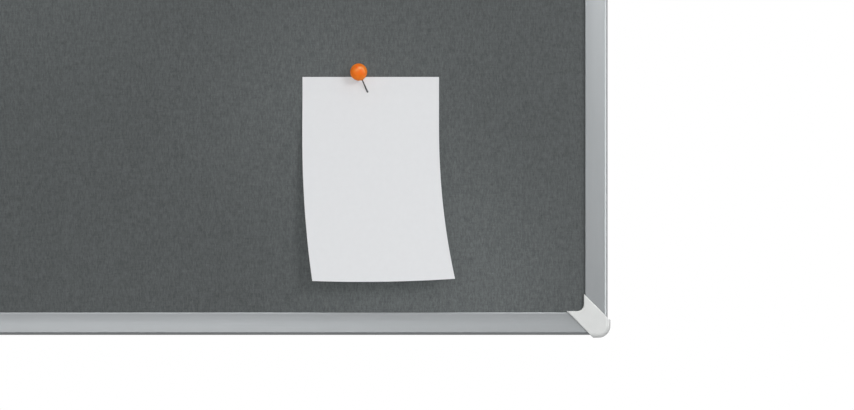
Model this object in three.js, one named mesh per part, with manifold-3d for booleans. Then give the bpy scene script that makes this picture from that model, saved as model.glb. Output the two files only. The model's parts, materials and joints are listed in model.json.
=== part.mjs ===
// Felt bulletin board: a felt-faced softboard panel held in a mitred aluminium frame, with moulded
// corner caps over the wall fixings, and a note that hangs on a ball-headed push pin.
// Millimetres, +Z up. The origin is the middle of the board on the wall plane, and the felt faces -Y.
// Every piece is drawn in the board's own frame, x to the right, y up and z out from the wall, and one
// outer group stands that frame upright.

import * as THREE from "three";
import { mergeVertices } from "three/addons/utils/BufferGeometryUtils.js";
import Module from "manifold-3d";

// Board, over the rails
const BOARD_WIDTH = 600;
const BOARD_HEIGHT = 450;

// Panel layers, from the wall outwards
const BACK_SHEET_THICKNESS = 1.0;
const CORE_THICKNESS = 8.1;
const FELT_THICKNESS = 1.8;
const GLUE_LINE = 0.1;
const PANEL_GAP = 0.3; // panel to the channel walls around it

// Rail section: a closed chamber at the outer side, an open channel for the panel at the inner side
const RAIL_FACE = 17;
const OUTER_WALL = 1.2;
const BACK_WALL = 1.6;
const DIVIDER_WALL = 1.0;
const CHAMBER_WIDTH = 8.6;
const FRONT_WALL = 1.7;
const BACK_LIP = 4.2; // reach of the back wall behind the panel
const SHOULDER_FACET = 0.8; // slanting facet beside the face, measured across the rail
const SHOULDER_SLOPE = THREE.MathUtils.degToRad(38); // of that facet, to the face
const SHOULDER_RADIUS = 3.9; // from the facet to the outer side
const FACE_SLOPE = THREE.MathUtils.degToRad(4); // of the outer part of the face, falling towards the felt
const FACE_CURVE_SHARE = 0.55; // inner part of the face, which curves until it is level
const BEAD_RADIUS = 0.7; // rounded inner lip
const MITRE_GAP = 0.3;

// Corner key: a boss in the open corner with two legs that plug into the rail chambers
const KEY_GAP = 0.25;
const KEY_LEG_LENGTH = 34;
const KEY_LEAD_IN = 1.5; // chamfer on the leg ends
const BOSS_INSET = 0.2; // boss side behind the outer face of the rails
const BOSS_GAP = 0.3; // boss to the square-cut rail ends
const BOSS_RECESS = 0.4; // boss top below the rail front
const FIXING_INSET = 6.0; // wall screw centre from both outer edges of the board
const FIXING_HOLE_RADIUS = 2.1;
const COUNTERBORE_RADIUS = 3.7;
const COUNTERBORE_FLOOR = 6.0; // plastic left under the wall screw's head

// Countersunk screws that hold each key leg, driven through the back of the rail
const SCREW_RADIUS = 1.45;
const SCREW_HEAD_RADIUS = 2.6;
const SCREW_HEAD_MARGIN = 0.3; // rail wall left below the cone of the head
const SCREW_LENGTH = 8.5;
const SCREW_POINT = 1.6;
const SCREW_GAP = 0.15;
const SCREW_SINK = 0.15; // head below the wall plane
const RECESS_WIDTH = 0.6;
const RECESS_SPAN = 2.8;
const RECESS_DEPTH = 0.8;

// Corner cap: a moulded strap over the mitre that pulls off towards the viewer
const CAP_BAND = 18.3; // across the two slanting edges
const CAP_WALL = 1.7;
const CAP_FRONT = 1.6;
const CAP_GAP = 0.3; // cap to rails and felt
const CAP_SKIRT = 0.75; // wall along the inner lip
const CAP_OUTER_RADIUS = 9;
const CAP_INNER_RADIUS = 5.2;
const CAP_SHOULDER = 4.2; // rounding over the outer edges of the rails
const CAP_EDGE = 0.9; // rounding of the other edges
const CAP_STAND_OFF = 0.6; // cap back edge above the wall plane
const SPIGOT_WALL = 1.0;
const SPIGOT_LENGTH = 4.0;

// Note sheet, placed from the lower right corner of the board
const SHEET_WIDTH = 102;
const SHEET_LENGTH = 151.9; // as it hangs, seen from the front
const SHEET_THICKNESS = 0.4;
const SHEET_SEAT = 0.3; // sheet back to the felt
const SHEET_FROM_RIGHT = 126.2; // right edge of the sheet to the right edge of the board
const SHEET_FROM_BOTTOM = 192.9; // top edge of the sheet to the bottom edge of the board
const SHEET_LIFT = 19; // the lower edge above the flat part
const SHEET_HELD_SHARE = 0.09; // part of the length that the pin holds flat
const SHEET_LIFT_POWER = 1.1; // beyond it the sheet leans out almost evenly
const SHEET_STRAIGHT_SHARE = 0.24; // part of the length before it drifts sideways
const SHEET_LEFT_SWAY = 8.2; // sideways drift of the lower corners
const SHEET_RIGHT_SWAY = 11.8;
const SHEET_SWAY_POWER = 2.1;
const SHEET_BOW = 5.4; // the lower edge bows: this lifts its right end
const SHEET_DIP = 3.7; // and this lowers its middle
const SHEET_COLUMNS = 8;
const SHEET_ROWS = 22;

// Push pin, leaning up and to the left of the point where it enters the sheet
const PIN_FROM_SHEET_TOP = 10.9;
const PIN_LEFT_OF_SHEET_MIDDLE = 2.5;
const PIN_LEAN_LEFT = 6.3; // ball centre from the entry point
const PIN_LEAN_UP = 14.2;
const PIN_LEAN_OUT = 8.0;
const BALL_RADIUS = 6.35;
const NEEDLE_RADIUS = 0.5;
const NEEDLE_SEAT_DEPTH = 4.0; // needle inside the ball
const NEEDLE_BITE = 8.5; // needle beyond the entry point
const NEEDLE_POINT = 3.0;
const NEEDLE_GAP = 0.2;

// Sizes that follow from those above
const DIVIDER_START = OUTER_WALL + CHAMBER_WIDTH;
const CHANNEL_START = DIVIDER_WALL + DIVIDER_START;
const BACK_SHEET_BASE = BACK_WALL + PANEL_GAP;
const CORE_BASE = BACK_SHEET_BASE + BACK_SHEET_THICKNESS + GLUE_LINE;
const FELT_BASE = CORE_BASE + CORE_THICKNESS + GLUE_LINE;
const FELT_TOP = FELT_BASE + FELT_THICKNESS;
const LIP_BASE = FELT_TOP + PANEL_GAP;
const FRAME_DEPTH = LIP_BASE + FRONT_WALL;
const RAIL_END = CHANNEL_START + MITRE_GAP / 2; // square cut of the chamber side, from the corner
const CUT_MARGIN = 2; // how far a cutter runs past what it cuts

// How finely round shapes are divided
const ROUND_STEPS = 20; // bars and turned pieces
const ARC_STEPS = 8; // one arc of an outline
const EDGE_STEPS = 3; // rounded edge of a cap
const SHOULDER_STEPS = 6; // rounded shoulder of a cap
const NEEDLE_STEPS = 12;
const BALL_STEPS = 24;
const MERGE_DISTANCE = 1e-4;

// Colours and finishes
const paint = (color, roughness, metalness = 0) =>
  new THREE.MeshStandardMaterial({ color, roughness, metalness });
const FELT_GREY = paint(0x5b5f60, 0.95);
const SOFTBOARD_BROWN = paint(0xa88960, 0.9);
const KRAFT_BROWN = paint(0xb59a72, 0.85);
const ANODISED = paint(0xa9adb0, 0.4, 0.8);
const KEY_GREY = paint(0x7d8183, 0.55);
const CAP_GREY = paint(0xd7d9d9, 0.4);
const ZINC = paint(0xc2c4c6, 0.35, 0.9);
const PIN_ORANGE = paint(0xe8731f, 0.3);
const PIN_STEEL = paint(0x5a5d60, 0.3, 0.9);
const PAPER_WHITE = paint(0xdedfe1, 0.8);

// Boolean solids
const wasm = await Module();
wasm.setup();

function solidFrom(geometry) {
  const bare = geometry.index ? geometry.toNonIndexed() : geometry.clone();
  bare.deleteAttribute("normal");
  bare.deleteAttribute("uv");
  const merged = mergeVertices(bare, MERGE_DISTANCE);
  const mesh = new wasm.Mesh({
    numProp: 3,
    vertProperties: merged.attributes.position.array,
    triVerts: new Uint32Array(merged.index.array),
  });
  return new wasm.Manifold(mesh);
}

function geometryFrom(solid) {
  const mesh = solid.getMesh();
  const geometry = new THREE.BufferGeometry();
  geometry.setAttribute("position", new THREE.BufferAttribute(mesh.vertProperties, 3));
  geometry.setIndex(new THREE.BufferAttribute(mesh.triVerts, 1));
  geometry.computeVertexNormals();
  return geometry;
}

function named(name, geometry, material) {
  const mesh = new THREE.Mesh(geometry, material);
  mesh.name = name;
  return mesh;
}

// Shape helpers
function outline(points) {
  return new THREE.Shape(points.map(([x, y]) => new THREE.Vector2(x, y)));
}

function prism(shape, base, top) {
  const settings = { depth: top - base, bevelEnabled: false, curveSegments: ARC_STEPS };
  return new THREE.ExtrudeGeometry(shape, settings).translate(0, 0, base);
}

function block(x0, x1, y0, y1, z0, z1) {
  const geometry = new THREE.BoxGeometry(x1 - x0, y1 - y0, z1 - z0);
  return geometry.translate((x0 + x1) / 2, (y0 + y1) / 2, (z0 + z1) / 2);
}

// A round bar along z, centred on x, y
function bar(radius, x, y, z0, z1) {
  const geometry = new THREE.CylinderGeometry(radius, radius, z1 - z0, ROUND_STEPS);
  return geometry.rotateX(Math.PI / 2).translate(x, y, (z0 + z1) / 2);
}

// A turned piece about z, from a profile of [radius, z] points that starts and ends on the axis
function turned(profile, steps = ROUND_STEPS) {
  const points = profile.map(([radius, z]) => new THREE.Vector2(radius, z));
  return new THREE.LatheGeometry(points, steps).rotateX(Math.PI / 2);
}

// Countersunk screw along z with its head at the wall plane and a cross recess in the head
const SCREW_HEAD_DEPTH = BACK_WALL - SCREW_HEAD_MARGIN;

// The screw from the rim of its head to its point, widened by a gap where it is used as a cutter
const screwSide = (gap) => [
  [SCREW_HEAD_RADIUS + gap, SCREW_SINK],
  [SCREW_RADIUS + gap, SCREW_HEAD_DEPTH],
  [SCREW_RADIUS + gap, SCREW_LENGTH - SCREW_POINT],
  [0, SCREW_LENGTH + gap],
];

function railScrew() {
  const half = RECESS_SPAN / 2;
  const slit = RECESS_WIDTH / 2;
  const floor = SCREW_SINK + RECESS_DEPTH;
  return geometryFrom(
    solidFrom(turned([[0, SCREW_SINK], ...screwSide(0)]))
      .subtract(solidFrom(block(-half, half, -slit, slit, -CUT_MARGIN, floor)))
      .subtract(solidFrom(block(-slit, slit, -half, half, -CUT_MARGIN, floor))),
  );
}

function screwCutter(x, y) {
  const rim = [SCREW_HEAD_RADIUS + SCREW_GAP, -CUT_MARGIN];
  const profile = [[0, -CUT_MARGIN], rim, ...screwSide(SCREW_GAP)];
  return solidFrom(turned(profile).translate(x, y, 0));
}

// Screw places along a rail, measured from each corner, on the middle of the chamber
const CHAMBER_MIDDLE = OUTER_WALL + CHAMBER_WIDTH / 2;
const SCREW_FROM_CORNER = RAIL_END + KEY_LEG_LENGTH / 2;

// Rail: the section has x across the rail from its outer edge, and y out from the wall
function railSection() {
  const beadEnd = RAIL_FACE - BEAD_RADIUS;
  const crest = SHOULDER_FACET + SHOULDER_RADIUS * (1 - Math.sin(SHOULDER_SLOPE));
  const facetDrop = SHOULDER_FACET * Math.tan(SHOULDER_SLOPE);
  const shoulderCentre = FRAME_DEPTH - facetDrop - SHOULDER_RADIUS * Math.cos(SHOULDER_SLOPE);
  const curveWidth = (beadEnd - crest) * FACE_CURVE_SHARE;
  const curveRadius = curveWidth / Math.sin(FACE_SLOPE);
  const slopeFall = (beadEnd - crest - curveWidth) * Math.tan(FACE_SLOPE);
  const lipTop = FRAME_DEPTH - slopeFall - curveRadius * (1 - Math.cos(FACE_SLOPE));
  const down = -Math.PI / 2;

  const section = new THREE.Shape();
  section.moveTo(0, 0);
  section.lineTo(CHANNEL_START + BACK_LIP, 0);
  section.lineTo(CHANNEL_START + BACK_LIP, BACK_WALL);
  section.lineTo(CHANNEL_START, BACK_WALL);
  section.lineTo(CHANNEL_START, LIP_BASE);
  section.lineTo(RAIL_FACE, LIP_BASE);
  section.absarc(beadEnd, lipTop - BEAD_RADIUS, BEAD_RADIUS, 0, Math.PI / 2, false);
  section.absarc(beadEnd, lipTop + curveRadius, curveRadius, down, down - FACE_SLOPE, true);
  section.lineTo(crest, FRAME_DEPTH);
  section.absarc(
    SHOULDER_RADIUS, shoulderCentre, SHOULDER_RADIUS, Math.PI / 2 + SHOULDER_SLOPE, Math.PI, false,
  );
  section.closePath();

  const chamber = new THREE.Path();
  chamber.moveTo(OUTER_WALL, BACK_WALL);
  chamber.lineTo(OUTER_WALL, LIP_BASE);
  chamber.lineTo(DIVIDER_START, LIP_BASE);
  chamber.lineTo(DIVIDER_START, BACK_WALL);
  chamber.closePath();
  section.holes.push(chamber);
  return section;
}

// What is cut off one end of a rail: square beside the corner boss, then mitred to the inner lip
function railEndCutter(length, side) {
  const end = length / 2;
  const inner = RAIL_FACE + CUT_MARGIN;
  const gap = MITRE_GAP / 2;
  const points = [
    [end - RAIL_END, -CUT_MARGIN],
    [end + CUT_MARGIN, -CUT_MARGIN],
    [end + CUT_MARGIN, inner],
    [end - inner - gap, inner],
    [end - RAIL_END, RAIL_END - gap],
  ];
  const shape = outline(points.map(([x, y]) => [side * x, y]));
  return solidFrom(prism(shape, -CUT_MARGIN, FRAME_DEPTH + CUT_MARGIN));
}

// The rail lies along x with its outer edge on y = 0
function rail(length) {
  const toBoard = new THREE.Matrix4().makeBasis(
    new THREE.Vector3(0, 1, 0), new THREE.Vector3(0, 0, 1), new THREE.Vector3(1, 0, 0),
  );
  let body = solidFrom(prism(railSection(), -length / 2, length / 2).applyMatrix4(toBoard));
  for (const side of [-1, 1]) {
    body = body.subtract(railEndCutter(length, side));
    body = body.subtract(screwCutter(side * (length / 2 - SCREW_FROM_CORNER), CHAMBER_MIDDLE));
  }
  return geometryFrom(body);
}

// Corner pieces are drawn for the lower left corner, with the outer corner of the rails at x = y = 0
const CAP_OVERHANG = CAP_GAP + CAP_WALL;
const CORNER_CENTRE = CAP_OUTER_RADIUS - CAP_OVERHANG; // of the concentric outer roundings

function roundedCornerSquare(low, high) {
  const shape = new THREE.Shape();
  const radius = CORNER_CENTRE - low;
  shape.moveTo(low, CORNER_CENTRE);
  shape.absarc(CORNER_CENTRE, CORNER_CENTRE, radius, Math.PI, 1.5 * Math.PI, false);
  shape.lineTo(high, low);
  shape.lineTo(high, high);
  shape.lineTo(low, high);
  shape.closePath();
  return shape;
}

// A round bar on the axis of the wall screw
const fixingBar = (radius, base, top) => solidFrom(bar(radius, FIXING_INSET, FIXING_INSET, base, top));

function cornerKey() {
  const bossEnd = RAIL_END - BOSS_GAP;
  const near = OUTER_WALL + KEY_GAP;
  const far = DIVIDER_START - KEY_GAP;
  const tip = RAIL_END + KEY_LEG_LENGTH;
  const legBase = BACK_WALL + KEY_GAP;
  const legTop = LIP_BASE - KEY_GAP;
  const bossTop = FRAME_DEPTH - BOSS_RECESS;
  const root = FIXING_INSET;
  const legX = outline([
    [root, near], [tip - KEY_LEAD_IN, near], [tip, near + KEY_LEAD_IN],
    [tip, far - KEY_LEAD_IN], [tip - KEY_LEAD_IN, far], [root, far],
  ]);
  const legY = outline([
    [near, root], [far, root], [far, tip - KEY_LEAD_IN],
    [far - KEY_LEAD_IN, tip], [near + KEY_LEAD_IN, tip], [near, tip - KEY_LEAD_IN],
  ]);
  return geometryFrom(
    solidFrom(prism(roundedCornerSquare(BOSS_INSET, bossEnd), 0, bossTop))
      .add(solidFrom(prism(legX, legBase, legTop)))
      .add(solidFrom(prism(legY, legBase, legTop)))
      .subtract(fixingBar(FIXING_HOLE_RADIUS, -CUT_MARGIN, FRAME_DEPTH))
      .subtract(fixingBar(COUNTERBORE_RADIUS, COUNTERBORE_FLOOR, FRAME_DEPTH))
      .subtract(screwCutter(SCREW_FROM_CORNER, CHAMBER_MIDDLE))
      .subtract(screwCutter(CHAMBER_MIDDLE, SCREW_FROM_CORNER)),
  );
}

// A prism with rounded front and back edges
function rolledPrism(shape, base, top, edge, steps) {
  const settings = {
    depth: top - base - 2 * edge,
    curveSegments: ARC_STEPS,
    bevelEnabled: true,
    bevelThickness: edge,
    bevelSize: edge,
    bevelOffset: -edge,
    bevelSegments: steps,
  };
  return new THREE.ExtrudeGeometry(shape, settings).translate(0, 0, base + edge);
}

// Cap: a strap along the mitre, hollowed at the felt, that rolls over the outer edges of the rails
const CAP_INNER = RAIL_FACE + CAP_GAP + CAP_SKIRT;
const CAP_SLANT = CAP_BAND / Math.SQRT2; // offset of a slanting edge from the mitre, along x or y
const CAP_FRONT_BASE = FRAME_DEPTH + CAP_GAP;
const CAP_FRONT_TOP = CAP_FRONT_BASE + CAP_FRONT;

function strapOutline() {
  const hollow = CAP_INNER + CAP_INNER_RADIUS;
  const outside = -CAP_OVERHANG - CUT_MARGIN;
  const shape = new THREE.Shape();
  shape.moveTo(outside, outside);
  shape.lineTo(outside + CAP_SLANT, outside);
  shape.lineTo(CAP_INNER + CAP_SLANT, CAP_INNER);
  shape.absarc(hollow, hollow, CAP_INNER_RADIUS, 1.5 * Math.PI, Math.PI, true);
  shape.lineTo(CAP_INNER, CAP_INNER + CAP_SLANT);
  shape.lineTo(outside, outside + CAP_SLANT);
  shape.closePath();
  return shape;
}

function cornerCap() {
  const reach = CAP_SLANT + CAP_INNER + CUT_MARGIN;
  const strap = rolledPrism(strapOutline(), CAP_STAND_OFF, CAP_FRONT_TOP, CAP_EDGE, EDGE_STEPS);
  const shoulder = rolledPrism(
    roundedCornerSquare(-CAP_OVERHANG, reach), -2 * CAP_SHOULDER, CAP_FRONT_TOP, CAP_SHOULDER, SHOULDER_STEPS,
  );
  const lip = RAIL_FACE + CAP_GAP;
  const past = reach + CUT_MARGIN;
  const feltClearance = FELT_TOP + CAP_GAP;
  const corner = solidFrom(prism(roundedCornerSquare(-CAP_GAP, reach), -CUT_MARGIN, CAP_FRONT_BASE));
  const overFelt = solidFrom(block(lip, past, lip, past, feltClearance, CAP_FRONT_TOP));

  const spigotRadius = COUNTERBORE_RADIUS - CAP_GAP;
  const spigotBase = CAP_FRONT_BASE - SPIGOT_LENGTH;
  const spigotTop = CAP_FRONT_BASE + CAP_FRONT / 2;
  const spigot = fixingBar(spigotRadius, spigotBase, spigotTop)
    .subtract(fixingBar(spigotRadius - SPIGOT_WALL, 0, CAP_FRONT_BASE));
  const shell = solidFrom(shoulder).intersect(solidFrom(strap));
  return geometryFrom(shell.subtract(corner.subtract(overFelt)).add(spigot));
}

// Panel layers, with a pierced hole that follows the pin
const PANEL_WIDTH = BOARD_WIDTH - 2 * (CHANNEL_START + PANEL_GAP);
const PANEL_HEIGHT = BOARD_HEIGHT - 2 * (CHANNEL_START + PANEL_GAP);

function panelLayer(base, thickness) {
  const halfWidth = PANEL_WIDTH / 2;
  const halfHeight = PANEL_HEIGHT / 2;
  return block(-halfWidth, halfWidth, -halfHeight, halfHeight, base, base + thickness);
}

// Places of the sheet and the pin on the board
const SHEET_RIGHT = BOARD_WIDTH / 2 - SHEET_FROM_RIGHT;
const SHEET_LEFT = SHEET_RIGHT - SHEET_WIDTH;
const SHEET_TOP = SHEET_FROM_BOTTOM - BOARD_HEIGHT / 2;
const SHEET_BASE = FELT_TOP + SHEET_SEAT;
const PIN_ENTRY = new THREE.Vector3(
  SHEET_RIGHT - SHEET_WIDTH / 2 - PIN_LEFT_OF_SHEET_MIDDLE,
  SHEET_TOP - PIN_FROM_SHEET_TOP,
  SHEET_BASE + SHEET_THICKNESS / 2,
);
const PIN_LEAN = new THREE.Vector3(-PIN_LEAN_LEFT, PIN_LEAN_UP, PIN_LEAN_OUT);
const BALL_CENTRE = PIN_ENTRY.clone().add(PIN_LEAN);
const PIN_TURN = new THREE.Quaternion().setFromUnitVectors(
  new THREE.Vector3(0, 0, 1), PIN_LEAN.clone().normalize(),
);
const PIN_PLACE = new THREE.Matrix4().compose(BALL_CENTRE, PIN_TURN, new THREE.Vector3(1, 1, 1));

// The needle points along -z from the ball, whose centre is at the origin
const NEEDLE_TOP = NEEDLE_SEAT_DEPTH - BALL_RADIUS;
const NEEDLE_TIP = -PIN_LEAN.length() - NEEDLE_BITE;

function needleProfile(gap) {
  return [
    [0, NEEDLE_TIP - gap],
    [NEEDLE_RADIUS + gap, NEEDLE_TIP + NEEDLE_POINT],
    [NEEDLE_RADIUS + gap, NEEDLE_TOP + gap],
    [0, NEEDLE_TOP + gap],
  ];
}

const needle = () => turned(needleProfile(0), NEEDLE_STEPS);
const needleCutter = () => solidFrom(turned(needleProfile(NEEDLE_GAP), NEEDLE_STEPS));

function ball() {
  const sphere = new THREE.SphereGeometry(BALL_RADIUS, BALL_STEPS, BALL_STEPS / 2);
  return geometryFrom(solidFrom(sphere).subtract(needleCutter()));
}

const pierced = (layer) =>
  geometryFrom(solidFrom(layer).subtract(needleCutter().transform(PIN_PLACE.toArray())));

// Note sheet: held flat by the pin, then leaning out from the board and drifting to the right
const beyond = (start, along, power) => Math.max(0, (along - start) / (1 - start)) ** power;

function sheetPoint(across, along) {
  const lift = beyond(SHEET_HELD_SHARE, along, SHEET_LIFT_POWER);
  const drift = beyond(SHEET_STRAIGHT_SHARE, along, SHEET_SWAY_POWER);
  const sway = THREE.MathUtils.lerp(SHEET_LEFT_SWAY, SHEET_RIGHT_SWAY, across) * drift;
  return new THREE.Vector3(
    SHEET_LEFT + SHEET_WIDTH * across + sway,
    SHEET_TOP - SHEET_LENGTH * along + (SHEET_BOW * across - SHEET_DIP) * across * drift,
    SHEET_BASE + SHEET_LIFT * lift,
  );
}

function sheetBlank() {
  const positions = [];
  const indices = [];
  const perRow = SHEET_COLUMNS + 1;
  const perSide = perRow * (SHEET_ROWS + 1);
  for (const height of [0, SHEET_THICKNESS]) {
    for (let row = 0; row <= SHEET_ROWS; row++) {
      for (let column = 0; column < perRow; column++) {
        const point = sheetPoint(column / SHEET_COLUMNS, row / SHEET_ROWS);
        positions.push(point.x, point.y, point.z + height);
      }
    }
  }
  const quad = (a, b, c, d) => indices.push(a, b, c, a, c, d);
  for (let row = 0; row < SHEET_ROWS; row++) {
    for (let column = 0; column < SHEET_COLUMNS; column++) {
      const a = row * perRow + column;
      quad(a, a + 1, a + perRow + 1, a + perRow);
      quad(perSide + a, perSide + a + perRow, perSide + a + perRow + 1, perSide + a + 1);
    }
  }
  const rim = [];
  for (let column = 0; column < SHEET_COLUMNS; column++) rim.push(column);
  for (let row = 0; row < SHEET_ROWS; row++) rim.push(row * perRow + SHEET_COLUMNS);
  for (let column = SHEET_COLUMNS; column > 0; column--) rim.push(SHEET_ROWS * perRow + column);
  for (let row = SHEET_ROWS; row > 0; row--) rim.push(row * perRow);
  rim.forEach((a, i) => {
    const b = rim[(i + 1) % rim.length];
    quad(a, perSide + a, perSide + b, b);
  });
  const geometry = new THREE.BufferGeometry();
  geometry.setAttribute("position", new THREE.Float32BufferAttribute(positions, 3));
  geometry.setIndex(indices);
  return geometry;
}

// The hole is round and clears the slanting needle whichever way the sheet swings
function noteSheet() {
  const lean = Math.asin(PIN_LEAN.z / PIN_LEAN.length());
  const drift = SHEET_THICKNESS / 2 / Math.tan(lean);
  const holeRadius = NEEDLE_RADIUS / Math.sin(lean) + drift + NEEDLE_GAP;
  const hole = bar(holeRadius, PIN_ENTRY.x, PIN_ENTRY.y, FELT_TOP, SHEET_BASE + CUT_MARGIN);
  return geometryFrom(solidFrom(sheetBlank()).subtract(solidFrom(hole)));
}

// Assembly
const board = new THREE.Group();

const SIDES = [
  { name: "bottom", ends: ["left", "right"], length: BOARD_WIDTH, x: 0, y: -BOARD_HEIGHT / 2, turn: 0 },
  { name: "right", ends: ["bottom", "top"], length: BOARD_HEIGHT, x: BOARD_WIDTH / 2, y: 0, turn: 1 },
  { name: "top", ends: ["right", "left"], length: BOARD_WIDTH, x: 0, y: BOARD_HEIGHT / 2, turn: 2 },
  { name: "left", ends: ["top", "bottom"], length: BOARD_HEIGHT, x: -BOARD_WIDTH / 2, y: 0, turn: 3 },
];

for (const { name, ends, length, x, y, turn } of SIDES) {
  const side = new THREE.Group();
  side.position.set(x, y, 0);
  side.rotation.z = turn * Math.PI / 2;
  side.add(named(`rail_${name}`, rail(length), ANODISED));
  ends.forEach((end, i) => {
    const screw = named(`rail_screw_${name}_${end}`, railScrew(), ZINC);
    screw.position.set((i === 0 ? -1 : 1) * (length / 2 - SCREW_FROM_CORNER), CHAMBER_MIDDLE, 0);
    side.add(screw);
  });
  board.add(side);
}

const CORNERS = [
  { name: "bottom_left", x: -1, y: -1, turn: 0 },
  { name: "bottom_right", x: 1, y: -1, turn: 1 },
  { name: "top_right", x: 1, y: 1, turn: 2 },
  { name: "top_left", x: -1, y: 1, turn: 3 },
];

for (const { name, x, y, turn } of CORNERS) {
  const corner = new THREE.Group();
  corner.position.set(x * BOARD_WIDTH / 2, y * BOARD_HEIGHT / 2, 0);
  corner.rotation.z = turn * Math.PI / 2;
  corner.add(named(`corner_key_${name}`, cornerKey(), KEY_GREY));
  corner.add(named(`corner_cap_${name}`, cornerCap(), CAP_GREY));
  board.add(corner);
}

board.add(named("back_sheet", panelLayer(BACK_SHEET_BASE, BACK_SHEET_THICKNESS), KRAFT_BROWN));
board.add(named("softboard_core", pierced(panelLayer(CORE_BASE, CORE_THICKNESS)), SOFTBOARD_BROWN));
board.add(named("felt_face", pierced(panelLayer(FELT_BASE, FELT_THICKNESS)), FELT_GREY));
board.add(named("note_sheet", noteSheet(), PAPER_WHITE));

const pin = new THREE.Group();
pin.position.copy(BALL_CENTRE);
pin.quaternion.copy(PIN_TURN);
pin.add(named("pin_head", ball(), PIN_ORANGE));
pin.add(named("pin_needle", needle(), PIN_STEEL));
board.add(pin);

// Stand the board upright: its x stays, its y becomes +Z and its front faces -Y
const upright = new THREE.Group();
board.rotation.x = Math.PI / 2;
upright.add(board);

export default upright;
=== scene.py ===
"""Looks of a felt bulletin board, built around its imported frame.

Pieces are drawn in millimetres in the board's own frame, x to the right, y up and z out from the wall,
and are then stood upright in the frame's metres, where the felt faces -Y.
"""

import json
import math

import bmesh
import bpy
from mathutils import Matrix, Vector


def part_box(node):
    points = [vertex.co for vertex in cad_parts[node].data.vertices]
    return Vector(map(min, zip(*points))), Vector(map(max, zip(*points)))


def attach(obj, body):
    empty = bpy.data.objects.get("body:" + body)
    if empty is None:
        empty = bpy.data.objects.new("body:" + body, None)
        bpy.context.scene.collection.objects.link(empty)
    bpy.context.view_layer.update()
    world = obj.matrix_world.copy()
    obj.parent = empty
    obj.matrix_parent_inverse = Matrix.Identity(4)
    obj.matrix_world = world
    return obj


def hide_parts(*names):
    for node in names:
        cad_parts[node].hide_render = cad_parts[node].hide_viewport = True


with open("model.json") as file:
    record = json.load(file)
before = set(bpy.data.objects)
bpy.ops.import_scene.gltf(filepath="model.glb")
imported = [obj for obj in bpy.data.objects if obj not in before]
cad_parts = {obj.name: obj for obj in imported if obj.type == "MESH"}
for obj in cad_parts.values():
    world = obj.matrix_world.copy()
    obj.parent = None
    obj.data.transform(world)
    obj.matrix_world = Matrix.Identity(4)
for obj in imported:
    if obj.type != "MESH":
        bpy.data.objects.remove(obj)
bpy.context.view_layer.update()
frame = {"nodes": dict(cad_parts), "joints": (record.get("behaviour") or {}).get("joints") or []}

MM = 0.001
QUARTER = math.pi / 2
UPRIGHT = Matrix(((MM, 0, 0, 0), (0, 0, -MM, 0), (0, MM, 0, 0), (0, 0, 0, 1)))


def to_board(point):
    """A point of the frame, in the board's millimetres."""
    return UPRIGHT.inverted() @ Vector(point)


def board_box(node):
    """Lowest and highest corner of a node in the board's millimetres."""
    low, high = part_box(node)
    return to_board((low.x, high.y, low.z)), to_board((high.x, low.y, high.z))


def joint(name):
    """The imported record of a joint."""
    return next(row for row in frame["joints"] if row["name"] == name)


# Sizes read from the frame
BOTTOM_RAIL = board_box("rail_bottom")
FELT = board_box("felt_face")
NOTE = board_box("note_sheet")
CAP = board_box("corner_cap_bottom_left")
KEY_SCREW = board_box("rail_screw_bottom_left")
HALF_WIDTH = board_box("rail_right")[1].x
HALF_HEIGHT = board_box("rail_top")[1].y
FRAME_DEPTH = BOTTOM_RAIL[1].z
RAIL_FACE = BOTTOM_RAIL[1].y - BOTTOM_RAIL[0].y
RAIL_END = HALF_WIDTH - BOTTOM_RAIL[1].x
FELT_TOP = FELT[1].z
SCREW_FROM_CORNER = HALF_WIDTH + (KEY_SCREW[0].x + KEY_SCREW[1].x) / 2
SCREW_FROM_EDGE = HALF_HEIGHT + (KEY_SCREW[0].y + KEY_SCREW[1].y) / 2
PIN_ENTRY = to_board(joint("note_swing")["pos_m"])
PIN_AXIS = to_board(joint("pin_pull")["axis"]).normalized()
BALL_CENTRE = sum(board_box("pin_head"), Vector()) / 2

# Rail section
CHANNEL_START = 10.8
OUTER_WALL = 1.2
CHAMBER_WIDTH = 8.6
BACK_WALL = 1.6
BACK_LIP = 4.2
LIP_BASE = 13.3
SHOULDER_FACET = 0.8
SHOULDER_SLOPE = math.radians(38)
SHOULDER_RADIUS = 3.9
FACE_SLOPE = math.radians(4)
FACE_CURVE_SHARE = 0.55
BEAD_RADIUS = 0.7
BACK_EDGE = 0.4
MITRE_GAP = 0.3
SCREW_HOLE_RADIUS = 1.6
SCREW_SEAT_RADIUS = 2.75
SCREW_SEAT_DEPTH = 1.3

# Corner cap
CAP_BAND = 18.3
CAP_SHOULDER = 4.2
CAP_EDGE = 0.9
CAP_GAP = 0.3
CAP_SKIRT = 0.75
CAP_FRONT = 1.6
CAP_OUTER_RADIUS = 9
CAP_INNER_RADIUS = 5.2
CAP_OVERHANG = -HALF_WIDTH - CAP[0].x
CAP_INNER = RAIL_FACE + CAP_GAP + CAP_SKIRT
CAP_SLANT = CAP_BAND / math.sqrt(2)
FIXING_INSET = 6.0
SPIGOT_RADIUS = 3.4
SPIGOT_BORE = 2.4
SPIGOT_LENGTH = 4.0
SPIGOT_EDGE = 0.3

# Felt, with patches [x, y, radius, share] of painted light: lighter pools where its colour is raised by a
# gain, which also lighten the felt round the note's shadow
FELT_EDGE = 0.4
FELT_TUCK = 1.2
FELT_TUCK_START = 9.5
FELT_TUCK_END = 6.0
FELT_TUCK_BELOW = 0.7
WEAVE_CONTRAST = 0.39
PAINTED_LIGHT_GAIN = 1.36
PAINTED_LIGHT_PATCHES = [(170, -198, 155, 1.4), (95, -58, 152, 0.8), (-150, 110, 210, 0.8)]

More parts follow.
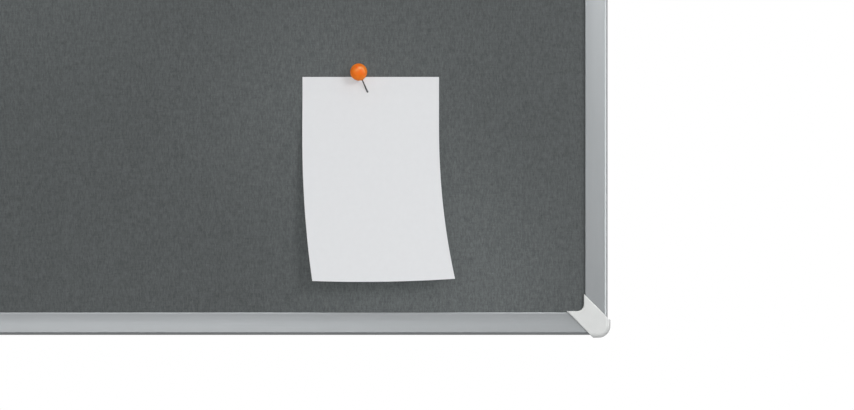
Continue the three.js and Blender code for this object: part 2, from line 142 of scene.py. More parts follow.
# Note sheet
SHEET_WIDTH = 102
SHEET_LENGTH = 151.9
SHEET_THICKNESS = 0.25
SHEET_LIFT = 19
SHEET_HELD_SHARE = 0.09
SHEET_LIFT_POWER = 1.1
SHEET_STRAIGHT_SHARE = 0.24
SHEET_LEFT_SWAY = 8.2
SHEET_RIGHT_SWAY = 11.8
SHEET_SWAY_POWER = 2.1
SHEET_BOW = 5.4
SHEET_DIP = 3.7
SHEET_COLUMNS = 34
SHEET_ROWS = 52
SHEET_HOLE_RADIUS = 0.75

# Push pin, whose needle tapers through shares of its radius and of its point's length
BALL_RADIUS = 6.35
NEEDLE_RADIUS = 0.5
NEEDLE_BITE = 8.5
NEEDLE_POINT = 3.0
NEEDLE_TAPER = [(0.45, 0.3), (0.85, 0.75)]
NEEDLE_IN_BALL = 3.5
NECK_RADIUS = 1.1
NECK_LENGTH = 0.5
SEAM_HALF_WIDTH = 0.15
SEAM_HEIGHT = 0.04
PIERCED_RADIUS = 0.65

# Floor, well below the board, in metres, and how it shows and throws light back
FLOOR_LEVEL = -0.42
FLOOR_HALF = 0.8
FLOOR_GLOW = 0.15
FLOOR_BOUNCE = 0.3

# How finely round shapes are divided
ARC_STEPS = 12
ROLL_STEPS = 8
TURN_STEPS = 48
SMOOTH_ANGLE = math.radians(32)

# How far a cutting shape reaches past the piece it cuts
PAST = 2.0


# Mesh building
def piece_from(name, points, faces):
    """A closed mesh object with its faces pointing out, in the board's millimetres."""
    mesh = bpy.data.meshes.new(name)
    mesh.from_pydata([tuple(p) for p in points], [], faces)
    shape = bmesh.new()
    shape.from_mesh(mesh)
    bmesh.ops.recalc_face_normals(shape, faces=shape.faces)
    shape.to_mesh(mesh)
    shape.free()
    piece = bpy.data.objects.new(name, mesh)
    bpy.context.scene.collection.objects.link(piece)
    return piece


def carve(piece, tool, operation="DIFFERENCE"):
    """Cuts, joins or intersects a piece with a tool, which is used up."""
    change = piece.modifiers.new("carve", "BOOLEAN")
    change.object = tool
    change.operation = operation
    change.solver = "EXACT"
    bpy.context.view_layer.update()
    shaped = piece.evaluated_get(bpy.context.evaluated_depsgraph_get())
    mesh = bpy.data.meshes.new_from_object(shaped)
    piece.modifiers.clear()
    piece.data = mesh
    bpy.data.objects.remove(tool)
    return piece


def arc(centre, radius, start, stop, steps=ARC_STEPS):
    """Points on an arc, with angles in quarter turns."""
    angles = [(start + (stop - start) * i / steps) * QUARTER for i in range(steps + 1)]
    return [(centre[0] + radius * math.cos(a), centre[1] + radius * math.sin(a)) for a in angles]


def loft(name, rings):
    """A closed piece through rings of points, capped at both ends."""
    count = len(rings[0])
    points = [p for ring in rings for p in ring]
    faces = [tuple(range(count)), tuple(range(len(points) - count, len(points)))]
    for level in range(len(rings) - 1):
        for i in range(count):
            j = (i + 1) % count
            low = level * count
            faces.append((low + i, low + j, low + count + j, low + count + i))
    return piece_from(name, points, faces)


def inset(outline, distance):
    """A counter-clockwise outline moved inwards, with its corners kept sharp."""
    corners = []
    for i, here in enumerate(outline):
        before = Vector(here) - Vector(outline[i - 1])
        after = Vector(outline[(i + 1) % len(outline)]) - Vector(here)
        first = Vector((-before.y, before.x)).normalized()
        second = Vector((-after.y, after.x)).normalized()
        corners.append(Vector(here) + (first + second) * distance / (1 + first.dot(second)))
    return corners


def rolled_prism(name, outline, base, top, radius):
    """A prism whose front edges are rounded."""
    rings = [[(x, y, base) for x, y in outline]]
    for step in range(ROLL_STEPS + 1):
        angle = step / ROLL_STEPS * QUARTER
        drop = radius * (1 - math.sin(angle))
        edge = inset(outline, radius * (1 - math.cos(angle)))
        rings.append([(x, y, top - drop) for x, y in edge])
    return loft(name, rings)


def prism(name, outline, base, top):
    """A straight prism."""
    return loft(name, [[(x, y, level) for x, y in outline] for level in (base, top)])


def rectangle(x0, x1, y0, y1):
    """A rectangular outline."""
    return [(x0, y0), (x1, y0), (x1, y1), (x0, y1)]


def turned(name, profile, steps=TURN_STEPS):
    """A piece turned about z, from [radius, z] points between two points on the axis."""
    points = [(0, 0, profile[0][1])]
    for radius, level in profile[1:-1]:
        for step in range(steps):
            angle = 2 * math.pi * step / steps
            points.append((radius * math.cos(angle), radius * math.sin(angle), level))
    points.append((0, 0, profile[-1][1]))
    last = len(points) - 1
    faces = []
    for step in range(steps):
        after = (step + 1) % steps
        faces.append((0, 1 + after, 1 + step))
        faces.append((last, last - steps + step, last - steps + after))
        for level in range(len(profile) - 3):
            low = 1 + level * steps
            faces.append((low + step, low + after, low + steps + after, low + steps + step))
    return piece_from(name, points, faces)


def moved(piece, place):
    """Moves a piece's mesh within the board's frame."""
    piece.data.transform(place)
    return piece


def settle(piece, body, node, finish, place=Matrix.Identity(4)):
    """Stands a finished piece in the frame in place of its node."""
    piece.data.transform(UPRIGHT @ place)
    piece.data.shade_smooth()
    piece.data.set_sharp_from_angle(angle=SMOOTH_ANGLE)
    normals = piece.modifiers.new("normals", "WEIGHTED_NORMAL")
    normals.keep_sharp = True
    piece.data.materials.clear()
    piece.data.materials.append(finish)
    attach(piece, body)
    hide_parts(node)
    return piece


def dress(node, finish):
    """Gives a node that stays in view its finish."""
    piece = frame["nodes"][node]
    piece.data.materials.clear()
    piece.data.materials.append(finish)
    piece.data.shade_smooth()
    piece.data.set_sharp_from_angle(angle=SMOOTH_ANGLE)


# Finishes
class Finish:
    """A node material whose textures lie on the object at sizes in millimetres."""

    def __init__(self, name, **settings):
        self.material = bpy.data.materials.new(name)
        self.material.use_nodes = True
        self.tree = self.material.node_tree
        self.shader = self.tree.nodes["Principled BSDF"]
        self.place = self.tree.nodes.new("ShaderNodeTexCoord").outputs["Object"]
        self.set(**settings)

    def feed(self, socket, value):
        """Links a socket, or sets its constant."""
        if isinstance(value, bpy.types.NodeSocket):
            self.tree.links.new(value, socket)
        else:
            socket.default_value = value

    def set(self, **settings):
        """Sets inputs of the shader, named in lower case with underscores."""
        for name, value in settings.items():
            self.feed(self.shader.inputs[name.replace("_", " ").title().replace("Ior", "IOR")], value)

    def node(self, kind, inputs, **settings):
        """A node with its settings and inputs."""
        made = self.tree.nodes.new(kind)
        for name, value in settings.items():
            setattr(made, name, value)
        for name, value in inputs.items():
            self.feed(made.inputs[name], value)
        return made

    def grain(self, size, detail=2.0, roughness=0.5):
        """Noise with its own grain size along x, y and z."""
        scale = [1 / (MM * s) for s in size]
        spot = self.node("ShaderNodeMapping", {"Vector": self.place, "Scale": scale}).outputs["Vector"]
        inputs = {"Vector": spot, "Scale": 1.0, "Detail": detail, "Roughness": roughness}
        return self.node("ShaderNodeTexNoise", inputs).outputs["Fac"]

    def spread(self, value, low, high, start=0.3, stop=0.7):
        """A value, usually the middle range of a noise, stretched between two limits."""
        inputs = {"Value": value, "From Min": start, "From Max": stop, "To Min": low, "To Max": high}
        return self.node("ShaderNodeMapRange", inputs).outputs["Result"]

    def total(self, *shares):
        """The weighted sum of several values."""
        result = None
        for value, share in shares:
            inputs = {0: value, 1: share, 2: 0.0 if result is None else result}
            result = self.node("ShaderNodeMath", inputs, operation="MULTIPLY_ADD").outputs["Value"]
        return result

    def tint(self, factor, first, second):
        """A colour between two others."""
        made = self.node("ShaderNodeMix", {"Factor": factor}, data_type="RGBA")
        for socket, value in ((made.inputs[6], first), (made.inputs[7], second)):
            self.feed(socket, value if isinstance(value, bpy.types.NodeSocket) else (*value, 1.0))
        return made.outputs[2]

    def mottle(self, value, colour, contrast):
        """A colour that a noise makes darker and lighter by a contrast."""
        return self.tint(self.spread(value, 0, 1), shade(colour, 1 - contrast), shade(colour, 1 + contrast))

    def near(self, point, radius):
        """A value that falls smoothly from 1 at a point of the board to 0 at a radius in millimetres."""
        ends = {0: self.place, 1: UPRIGHT @ Vector(point)}
        away = self.node("ShaderNodeVectorMath", ends, operation="DISTANCE").outputs["Value"]
        inputs = {"Value": away, "From Min": 0.0, "From Max": radius * MM, "To Min": 1.0, "To Max": 0.0}
        return self.node("ShaderNodeMapRange", inputs, interpolation_type="SMOOTHSTEP").outputs["Result"]

    def relief(self, height, depth, strength=1.0):
        """Surface relief of a depth in millimetres."""
        inputs = {"Height": height, "Distance": depth * MM, "Strength": strength}
        self.set(normal=self.node("ShaderNodeBump", inputs).outputs["Normal"])


def shade(colour, factor):
    """A colour made darker or lighter."""
    return tuple(channel * factor for channel in colour)


def felt_finish():
    """Charcoal felt with short upright slubs, loose weft and fuzz, and pools of painted light in patches."""
    colour = (0.0829, 0.0903, 0.0914)
    finish = Finish("felt", roughness=0.95, sheen_weight=0.12, sheen_roughness=0.5, specular_ior_level=0.15)
    slub = finish.grain((0.95, 9, 3.1), detail=3, roughness=0.6)
    weft = finish.grain((6, 9, 0.9), detail=2)
    fuzz = finish.grain((0.4, 0.4, 0.4), detail=2)
    cloud = finish.grain((55, 55, 55), detail=2)
    weave = finish.total((slub, 0.52), (weft, 0.16), (fuzz, 0.32))
    flat = finish.mottle(weave, colour, WEAVE_CONTRAST)
    painted_lit = finish.mottle(weave, shade(colour, PAINTED_LIGHT_GAIN), WEAVE_CONTRAST)
    # Painted light: the listed patches make the felt's colour lighter as pools of light, which also lighten
    # the shade round the note. The cloud noise adds random tone on top.
    light_pools = [(finish.near((x, y, FELT_TOP), radius), share) for x, y, radius, share in PAINTED_LIGHT_PATCHES]
    painted_light_and_tone = finish.total(*light_pools, (cloud, 0.2))
    finish.set(base_color=finish.tint(finish.spread(painted_light_and_tone, 0, 1, 0, 1.2), flat, painted_lit))
    finish.relief(weave, 0.25, 0.6)
    return finish.material


def aluminium_finish(name, grain, axis):
    """Satin anodised aluminium, with fine draw lines along an axis that spread its gloss round that axis."""
    colour = (0.228, 0.24, 0.247)
    round_axis = {"direction_type": "RADIAL", "axis": axis}
    finish = Finish(name, metallic=0.5, anisotropic=0.25)
    finish.set(tangent=finish.node("ShaderNodeTangent", {}, **round_axis).outputs["Tangent"])
    line = finish.grain(grain, detail=4, roughness=0.7)
    cloud = finish.grain((30, 30, 30))
    finish.set(base_color=finish.mottle(line, colour, 0.04))
    finish.set(roughness=finish.spread(finish.total((line, 0.7), (cloud, 0.3)), 0.28, 0.36))
    finish.relief(line, 0.02, 0.3)
    return finish.material


def cap_finish():
    """Pale grey moulded plastic with a fine spark-eroded texture."""
    colour = (0.648, 0.66, 0.653)
    finish = Finish("cap_plastic", specular_ior_level=0.45)
    grain = finish.grain((0.35, 0.35, 0.35), detail=3)
    cloud = finish.grain((8, 8, 8))
    finish.set(base_color=finish.mottle(cloud, colour, 0.015))
    finish.set(roughness=finish.spread(grain, 0.2, 0.3))
    finish.relief(grain, 0.02, 0.2)
    return finish.material


def key_finish():
    """Mid grey filled plastic of the hidden keys."""
    colour = (0.2, 0.215, 0.22)
    finish = Finish("key_plastic", specular_ior_level=0.35)
    grain = finish.grain((0.5, 0.5, 0.5), detail=3)
    fleck = finish.grain((0.2, 1.4, 0.2), detail=1)
    finish.set(base_color=finish.tint(finish.spread(fleck, 0, 1, 0.55, 0.75), colour, shade(colour, 1.35)))
    finish.set(roughness=finish.spread(grain, 0.45, 0.65))
    finish.relief(grain, 0.04, 0.4)
    return finish.material


def paper_finish():
    """Uncoated white paper with faint fibres."""
    colour = (0.715, 0.725, 0.74)
    finish = Finish("paper", roughness=0.85, specular_ior_level=0.2)
    fibre = finish.grain((0.3, 0.3, 1.6), detail=3)
    mottle = finish.grain((4, 4, 4), detail=2)
    soft = finish.total((fibre, 0.5), (mottle, 0.5))
    finish.set(base_color=finish.mottle(soft, colour, 0.015))
    finish.relief(fibre, 0.02, 0.3)
    return finish.material


def orange_finish():
    """Glossy orange plastic."""
    colour = (0.845, 0.155, 0.01)
    finish = Finish("pin_plastic", specular_ior_level=0.38, specular_tint=(0.6, 0.95, 0.6, 1.0))
    finish.set(subsurface_weight=1.0, subsurface_radius=(1.0, 0.5, 0.2), subsurface_scale=5 * MM)
    finish.set(sheen_weight=1.0, sheen_roughness=0.8, sheen_tint=(1.0, 0.3, 0.02, 1.0))
    swirl = finish.grain((3, 3, 3), detail=2)
    scuff = finish.grain((0.25, 0.25, 1.2), detail=3)
    finish.set(base_color=finish.mottle(swirl, colour, 0.04))
    finish.set(roughness=finish.spread(scuff, 0.3, 0.4))
    finish.relief(scuff, 0.01, 0.1)
    return finish.material


def steel_finish(name, colour, grain):
    """Drawn or plated steel."""
    finish = Finish(name, metallic=0.85)
    line = finish.grain(grain, detail=3)
    finish.set(base_color=finish.mottle(line, colour, 0.15))
    finish.set(roughness=finish.spread(line, 0.26, 0.42))
    finish.relief(line, 0.01, 0.3)
    return finish.material


def kraft_finish():
    """Brown kraft paper with fibres and dark flecks."""
    colour = (0.46, 0.33, 0.19)
    finish = Finish("kraft", roughness=0.85, specular_ior_level=0.2)
    fibre = finish.grain((0.35, 2, 4), detail=4, roughness=0.65)
    cloud = finish.grain((25, 25, 25), detail=3)
    fleck = finish.grain((0.9, 2, 0.5), detail=1)
    body = finish.total((fibre, 0.6), (cloud, 0.4))
    paper = finish.mottle(body, colour, 0.14)
    finish.set(base_color=finish.tint(finish.spread(fleck, 0, 0.55, 0.68, 0.76), paper, shade(colour, 0.45)))
    finish.relief(fibre, 0.05, 0.4)
    return finish.material


def softboard_finish():
    """Raw pressed wood fibre."""
    colour = (0.39, 0.25, 0.12)
    finish = Finish("softboard", roughness=0.95, specular_ior_level=0.1)
    fibre = finish.grain((1.6, 0.4, 1.6), detail=4, roughness=0.7)
    finish.set(base_color=finish.mottle(fibre, colour, 0.3))
    finish.relief(fibre, 0.2, 0.6)
    return finish.material


def floor_finish():
    """Studio floor that shows pale and throws little light back up."""
    colour = (0.8, 0.8, 0.8)
    finish = Finish("floor", roughness=0.7, specular_ior_level=0.2)
    cloud = finish.grain((90, 90, 90), detail=3)
    pale = finish.mottle(cloud, colour, 0.01)
    ray = finish.node("ShaderNodeLightPath", {}).outputs
    sides = {0: ray["Is Camera Ray"], 1: ray["Is Glossy Ray"]}
    seen = finish.node("ShaderNodeMath", sides, operation="MAXIMUM").outputs["Value"]
    glow = finish.node("ShaderNodeMath", {0: seen, 1: FLOOR_GLOW}, operation="MULTIPLY").outputs["Value"]
    finish.set(base_color=finish.tint(seen, shade(colour, FLOOR_BOUNCE), pale))
    finish.set(emission_color=(1.0, 1.0, 1.0, 1.0), emission_strength=glow)
    return finish.material


# Frame rails
def rail_section():
    """Outline of the rail: across from its outer edge, and out from the wall."""
    bead_end = RAIL_FACE - BEAD_RADIUS
    crest = SHOULDER_FACET + SHOULDER_RADIUS * (1 - math.sin(SHOULDER_SLOPE))
    facet_drop = SHOULDER_FACET * math.tan(SHOULDER_SLOPE)
    shoulder = (SHOULDER_RADIUS, FRAME_DEPTH - facet_drop - SHOULDER_RADIUS * math.cos(SHOULDER_SLOPE))
    curve = (bead_end - crest) * FACE_CURVE_SHARE
    curve_radius = curve / math.sin(FACE_SLOPE)
    slope_fall = (bead_end - crest - curve) * math.tan(FACE_SLOPE)
    lip_top = FRAME_DEPTH - slope_fall - curve_radius * (1 - math.cos(FACE_SLOPE))
    back_end = CHANNEL_START + BACK_LIP
    return [
        *arc((BACK_EDGE, BACK_EDGE), BACK_EDGE, 2, 3, ROLL_STEPS),
        (back_end, 0),
        (back_end, BACK_WALL),
        (CHANNEL_START, BACK_WALL),
        (CHANNEL_START, LIP_BASE),
        (RAIL_FACE, LIP_BASE),
        *arc((bead_end, lip_top - BEAD_RADIUS), BEAD_RADIUS, 0, 1),
        *arc((bead_end, lip_top + curve_radius), curve_radius, 3, 3 - FACE_SLOPE / QUARTER)[1:],
        (crest, FRAME_DEPTH),
        *arc(shoulder, SHOULDER_RADIUS, 1 + SHOULDER_SLOPE / QUARTER, 2),
    ]


def along_rail(name, section, length):
    """A section run along x, centred on the rail."""
    return loft(name, [[(x, u, w) for u, w in section] for x in (-length / 2, length / 2)])


def rail(name, length):
    """A hollow rail along x with its outer edge on y = 0."""
    piece = along_rail(name, rail_section(), length)
    divider = OUTER_WALL + CHAMBER_WIDTH
    carve(piece, along_rail("chamber", rectangle(OUTER_WALL, divider, BACK_WALL, LIP_BASE), length + PAST))
    end = length / 2
    inner = RAIL_FACE + PAST
    gap = MITRE_GAP / 2
    for side in (-1, 1):
        cut = [
            (end - RAIL_END, -PAST),
            (end + PAST, -PAST),
            (end + PAST, inner),
            (end - inner - gap, inner),
            (end - RAIL_END, RAIL_END - gap),
        ]
        carve(piece, prism("end", [(side * x, y) for x, y in cut], -PAST, FRAME_DEPTH + PAST))
        seat = [
            (0, -PAST),
            (SCREW_SEAT_RADIUS, -PAST),
            (SCREW_SEAT_RADIUS, 0),
            (SCREW_HOLE_RADIUS, SCREW_SEAT_DEPTH),
            (SCREW_HOLE_RADIUS, BACK_WALL + PAST),
            (0, BACK_WALL + PAST),
        ]
        spot = Matrix.Translation((side * (end - SCREW_FROM_CORNER), SCREW_FROM_EDGE, 0))
        carve(piece, moved(turned("seat", seat), spot))
    return piece


# Corner caps, drawn for the lower left corner with the outer corner of the rails at x = y = 0
def rounded_corner(low, high):
    """A square whose outer corner follows the cap's rounding."""
    centre = CAP_OUTER_RADIUS - CAP_OVERHANG
    outer = arc((centre, centre), centre - low, 2, 3, 2 * ARC_STEPS)
    return [*outer, (high, low), (high, high), (low, high)]


def corner_cap(name):
    """A strap over the mitre, rolled over the outer edges of the rails."""
    base, top = CAP[0].z, CAP[1].z
    front_base = top - CAP_FRONT
    reach = CAP_SLANT + CAP_INNER + PAST
    hollow = CAP_INNER + CAP_INNER_RADIUS
    outside = -2 * CAP_OVERHANG
    strap = [
        (outside, outside),
        (outside + CAP_SLANT, outside),
        (CAP_INNER + CAP_SLANT, CAP_INNER),
        *arc((hollow, hollow), CAP_INNER_RADIUS, 3, 2),
        (CAP_INNER, CAP_INNER + CAP_SLANT),
        (outside, outside + CAP_SLANT),
    ]
    lip = RAIL_FACE + CAP_GAP
    past = reach + PAST
    felt_clear = FELT_TOP + CAP_GAP
    piece = rolled_prism(name, rounded_corner(-CAP_OVERHANG, reach), base, top, CAP_SHOULDER)
    carve(piece, rolled_prism("strap", strap, base - PAST, top, CAP_EDGE), "INTERSECT")
    room = prism("room", rounded_corner(-CAP_GAP, reach), base - PAST, front_base)
    carve(room, prism("skirt", rectangle(lip, past, lip, past), felt_clear, top))
    carve(piece, room)
    spigot = turned("spigot", ring_profile(front_base - SPIGOT_LENGTH, front_base, CAP_FRONT / 2))
    carve(piece, moved(spigot, Matrix.Translation((FIXING_INSET, FIXING_INSET, 0))), "UNION")
    return piece


def ring_profile(base, floor, root):
    """Profile of a hollow spigot, closed above its floor."""
    return [
        (0, floor),
        (SPIGOT_BORE, floor),
        (SPIGOT_BORE, base + 2 * SPIGOT_EDGE),
        (SPIGOT_BORE + SPIGOT_EDGE, base),
        (SPIGOT_RADIUS - SPIGOT_EDGE, base),
        (SPIGOT_RADIUS, base + 2 * SPIGOT_EDGE),
        (SPIGOT_RADIUS, floor + root),
        (0, floor + root),
    ]


# Felt, note and pin
PIN_TURN = PIN_AXIS.to_track_quat("Z", "Y").to_matrix().to_4x4()
PIN_PLACE = Matrix.Translation(BALL_CENTRE) @ PIN_TURN
PIN_REACH = (BALL_CENTRE - PIN_ENTRY).length + NEEDLE_BITE


def felt_face(name):
    """The felt sheet on the core, pierced by the needle."""
    low, high = FELT
    tucked = high.z - FELT_TUCK
    levels = [(0, low.z), (0, tucked - FELT_EDGE), (FELT_EDGE, tucked)]
    for step in range(ROLL_STEPS + 1):
        share = step / ROLL_STEPS
        rise = share * share * (3 - 2 * share)
        levels.append((FELT_TUCK_END + (FELT_TUCK_START - FELT_TUCK_END) * share, tucked + FELT_TUCK * rise))
    rings = []
    for side, level in levels:
        edge = rectangle(low.x + side, high.x - side, low.y + side * FELT_TUCK_BELOW, high.y - side)
        rings.append([(x, y, level) for x, y in edge])
    piece = loft(name, rings)
    pierced = [(0, -PIN_REACH), (PIERCED_RADIUS, -PIN_REACH), (PIERCED_RADIUS, 0), (0, 0)]
    return carve(piece, moved(turned("pierced", pierced), PIN_PLACE))


def sheet_point(across, along):
    """A point of the note: held flat by the pin, then leaning out and drifting to the right."""
    lift = max(0, (along - SHEET_HELD_SHARE) / (1 - SHEET_HELD_SHARE)) ** SHEET_LIFT_POWER
    drift = max(0, (along - SHEET_STRAIGHT_SHARE) / (1 - SHEET_STRAIGHT_SHARE)) ** SHEET_SWAY_POWER
    sway = SHEET_LEFT_SWAY + (SHEET_RIGHT_SWAY - SHEET_LEFT_SWAY) * across
    return Vector((
        NOTE[0].x + SHEET_WIDTH * across + sway * drift,
        NOTE[1].y - SHEET_LENGTH * along + (SHEET_BOW * across - SHEET_DIP) * across * drift,
        NOTE[0].z + SHEET_LIFT * lift,
    ))


def note_sheet(name):
    """The note as a thin closed sheet with a pin hole."""
    per_row = SHEET_COLUMNS + 1
    points = []
    for height in (0, SHEET_THICKNESS):
        for row in range(SHEET_ROWS + 1):
            for column in range(per_row):
                point = sheet_point(column / SHEET_COLUMNS, row / SHEET_ROWS)
                points.append(point + Vector((0, 0, height)))
    side = per_row * (SHEET_ROWS + 1)
    faces = []
    for row in range(SHEET_ROWS):
        for column in range(SHEET_COLUMNS):
            a = row * per_row + column
            quad = (a, a + 1, a + per_row + 1, a + per_row)
            faces.append(quad)
            faces.append(tuple(side + i for i in reversed(quad)))
    rim = [
        *range(SHEET_COLUMNS),
        *range(SHEET_COLUMNS, side - 1, per_row),
        *range(side - 1, side - per_row, -1),
        *range(side - per_row, 0, -per_row),
    ]
    for i, a in enumerate(rim):
        b = rim[(i + 1) % len(rim)]
        faces.append((a, side + a, side + b, b))
    piece = piece_from(name, points, faces)
    ends = [(0, -PAST), (SHEET_HOLE_RADIUS, -PAST), (SHEET_HOLE_RADIUS, PAST), (0, PAST)]
    return carve(piece, moved(turned("hole", ends), Matrix.Translation(PIN_ENTRY)))


def pin_head(name):
    """A moulded ball with a short neck at the needle and a faint seam round its middle."""
    neck = math.asin(NECK_RADIUS / BALL_RADIUS)
    seam = SEAM_HALF_WIDTH / BALL_RADIUS
    steps = TURN_STEPS // 2
    lower = [neck + (math.pi / 2 - seam - neck) * i / steps for i in range(steps + 1)]
    upper = [math.pi / 2 + seam + (math.pi / 2 - seam) * i / steps for i in range(steps)]
    profile = [(0, -BALL_RADIUS - NECK_LENGTH), (NECK_RADIUS, -BALL_RADIUS - NECK_LENGTH)]
    profile += [(BALL_RADIUS * math.sin(a), -BALL_RADIUS * math.cos(a)) for a in lower]
    profile += [(BALL_RADIUS + SEAM_HEIGHT, 0)]
    profile += [(BALL_RADIUS * math.sin(a), -BALL_RADIUS * math.cos(a)) for a in upper]
    profile += [(0, BALL_RADIUS)]
    return moved(turned(name, profile), PIN_PLACE)


def pin_needle(name):
    """A steel needle that tapers to its point."""
    top = NEEDLE_IN_BALL - BALL_RADIUS
    profile = [
        (0, -PIN_REACH),
        *((NEEDLE_RADIUS * wide, -PIN_REACH + NEEDLE_POINT * far) for wide, far in NEEDLE_TAPER),
        (NEEDLE_RADIUS, -PIN_REACH + NEEDLE_POINT),
        (NEEDLE_RADIUS, top),
        (0, top),
    ]
    return moved(turned(name, profile, TURN_STEPS // 2), PIN_PLACE)


# Assembly
ALONG_X = aluminium_finish("aluminium_across", (90, 0.14, 0.14), "X")
ALONG_Z = aluminium_finish("aluminium_upright", (0.14, 0.14, 90), "Z")
SIDES = [
    ("bottom", 2 * HALF_WIDTH, (0, -HALF_HEIGHT), 0, ALONG_X),
    ("right", 2 * HALF_HEIGHT, (HALF_WIDTH, 0), 1, ALONG_Z),
    ("top", 2 * HALF_WIDTH, (0, HALF_HEIGHT), 2, ALONG_X),
    ("left", 2 * HALF_HEIGHT, (-HALF_WIDTH, 0), 3, ALONG_Z),
]
for side, length, (x, y), turn, finish in SIDES:
    place = Matrix.Translation((x, y, 0)) @ Matrix.Rotation(turn * QUARTER, 4, "Z")
    settle(rail(f"rail_{side}_shell", length), "board", f"rail_{side}", finish, place)

CAP_PLASTIC = cap_finish()
CORNERS = [
    ("bottom_left", -HALF_WIDTH, -HALF_HEIGHT, 0),
    ("bottom_right", HALF_WIDTH, -HALF_HEIGHT, 1),
    ("top_right", HALF_WIDTH, HALF_HEIGHT, 2),
    ("top_left", -HALF_WIDTH, HALF_HEIGHT, 3),
]
for corner, x, y, turn in CORNERS:
    place = Matrix.Translation((x, y, 0)) @ Matrix.Rotation(turn * QUARTER, 4, "Z")
    cap = corner_cap(f"cap_{corner}_moulding")
    settle(cap, f"cap_{corner}", f"corner_cap_{corner}", CAP_PLASTIC, place)

felt = settle(felt_face("felt_cloth"), "board", "felt_face", felt_finish())
note = settle(note_sheet("note_paper"), "note", "note_sheet", paper_finish())
settle(pin_head("pin_ball"), "pin", "pin_head", orange_finish())
NEEDLE_STEEL = steel_finish("pin_steel", (0.055, 0.057, 0.06), (0.2, 0.2, 0.2))
settle(pin_needle("needle"), "pin", "pin_needle", NEEDLE_STEEL)

dress("back_sheet", kraft_finish())
dress("softboard_core", softboard_finish())
KEY_PLASTIC = key_finish()
ZINC = steel_finish("zinc_screw", (0.5, 0.51, 0.52), (0.4, 0.4, 0.4))
for name in frame["nodes"]:
    if name.startswith("corner_key"):
        dress(name, KEY_PLASTIC)
    if name.startswith("rail_screw"):
        dress(name, ZINC)

# Floor
floor_mesh = bpy.data.meshes.new("floor")
floor_corners = rectangle(-FLOOR_HALF, FLOOR_HALF, -FLOOR_HALF, FLOOR_HALF)
floor_mesh.from_pydata([(x, y, FLOOR_LEVEL) for x, y in floor_corners], [], [(0, 1, 2, 3)])
floor_mesh.materials.append(floor_finish())
floor = bpy.data.objects.new("floor", floor_mesh)
bpy.context.scene.collection.objects.link(floor)

# Light: a soft key from the upper right, fills in front and behind, and pale cards that only show in gloss
MIDDLE = Vector((0.15, 0, -0.1))
LOW_CORNER = Vector((0.3, 0, -0.22))
# Name, aim, direction from the aim, distance, size, power, and the rays that it shows in
LAMPS = [
    ("key", MIDDLE, (0.6, -1.0, 0.38), 2.2, (0.7, 0.7), 13.0, "diffuse"),
    ("fill", MIDDLE, (0.0, -1.0, 0.0), 3.0, (0.4, 0.4), 49.0, "diffuse"),
    ("fill_behind", MIDDLE, (0.0, 1.0, 0.2), 3.0, (0.8, 0.8), 55.0, "diffuse"),
    ("card_left", MIDDLE, (-0.36, -1.0, 0.33), 3.0, (2.4, 0.75), 46.0, "glossy"),
    ("card_right", MIDDLE, (0.97, -0.24, 0.1), 1.2, (0.3, 1.0), 6.6, "glossy"),
    ("card_above", MIDDLE, (0.25, -0.5, 0.83), 1.3, (2.0, 0.35), 24.0, "glossy"),
    ("card_top", MIDDLE, (0.325, -0.514, 0.793), 1.2, (0.4, 0.4), 5.0, "glossy"),
    ("card_edge", LOW_CORNER, (0.66, -0.35, 0.66), 1.3, (0.5, 0.5), 8.0, "glossy"),
    ("card_corner", LOW_CORNER, (0.56, -0.76, 0.34), 0.25, (0.1, 0.2), 0.22, "glossy"),
]
SKY_ABOVE = 0.3
SKY_BELOW = 0.05
SKY_BLEND = 0.6
WHITE = (1.0, 1.0, 1.0, 1.0)

for name, target, direction, distance, (width, height), power, shows_in in LAMPS:
    light = bpy.data.lights.new(name, "AREA")
    light.shape = "RECTANGLE"
    light.size = width
    light.size_y = height
    light.energy = power
    lamp = bpy.data.objects.new(name, light)
    towards = Vector(direction).normalized()
    lamp.location = target + towards * distance
    lamp.rotation_euler = towards.to_track_quat("Z", "Y").to_euler()
    lamp.visible_camera = False
    lamp.visible_diffuse = shows_in == "diffuse"
    lamp.visible_glossy = shows_in == "glossy"
    bpy.context.scene.collection.objects.link(lamp)

world = bpy.data.worlds.new("studio")
world.use_nodes = True
bpy.context.scene.world = world
sky = world.node_tree


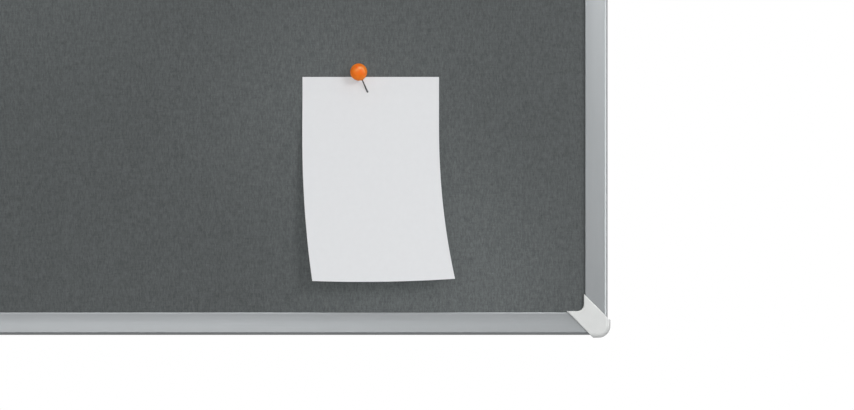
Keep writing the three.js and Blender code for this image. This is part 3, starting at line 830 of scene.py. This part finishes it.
def sky_node(kind, inputs, **settings):
    """A node of the world, with its inputs linked or set."""
    made = sky.nodes.new(kind)
    for key, value in settings.items():
        setattr(made, key, value)
    for key, value in inputs.items():
        if isinstance(value, bpy.types.NodeSocket):
            sky.links.new(value, made.inputs[key])
        else:
            made.inputs[key].default_value = value
    return made.outputs


up = sky_node("ShaderNodeSeparateXYZ", {0: sky_node("ShaderNodeTexCoord", {})["Generated"]})["Z"]
fall = {"Value": up, "From Min": -SKY_BLEND, "From Max": SKY_BLEND, "To Min": SKY_BELOW, "To Max": SKY_ABOVE}
strength = sky_node("ShaderNodeMapRange", fall)["Result"]
lit = sky_node("ShaderNodeBackground", {"Color": WHITE, "Strength": strength})
white = sky_node("ShaderNodeBackground", {"Color": WHITE, "Strength": 1.0})
ray = sky_node("ShaderNodeLightPath", {})
seen = ray["Is Camera Ray"]
for kind in ("Is Glossy Ray", "Is Transmission Ray"):
    seen = sky_node("ShaderNodeMath", {0: seen, 1: ray[kind]}, operation="MAXIMUM")["Value"]
shown = sky_node("ShaderNodeMixShader", {0: seen, 1: lit["Background"], 2: white["Background"]})
sky.links.new(shown["Shader"], sky.nodes["World Output"].inputs["Surface"])

# Camera: square on to the board, framed on its lower right part
IMAGE_WIDTH, IMAGE_HEIGHT = 854, 410
MM_PER_PIXEL = 0.7467
CORNER_PIXEL = (608.0, 335.2)
CAMERA_DISTANCE = 1.8
camera_data = bpy.data.cameras.new("camera")
camera = bpy.data.objects.new("camera", camera_data)
middle_x = HALF_WIDTH - (CORNER_PIXEL[0] - IMAGE_WIDTH / 2) * MM_PER_PIXEL
middle_y = -HALF_HEIGHT + (CORNER_PIXEL[1] - IMAGE_HEIGHT / 2) * MM_PER_PIXEL
camera.location = UPRIGHT @ Vector((middle_x, middle_y, FRAME_DEPTH + CAMERA_DISTANCE / MM))
camera.rotation_euler = (QUARTER, 0, 0)
camera_data.lens = camera_data.sensor_width * CAMERA_DISTANCE / (IMAGE_WIDTH * MM_PER_PIXEL * MM)
bpy.context.scene.collection.objects.link(camera)
bpy.context.scene.camera = camera
bpy.context.scene.view_settings.view_transform = "Standard"

bpy.context.view_layer.update()
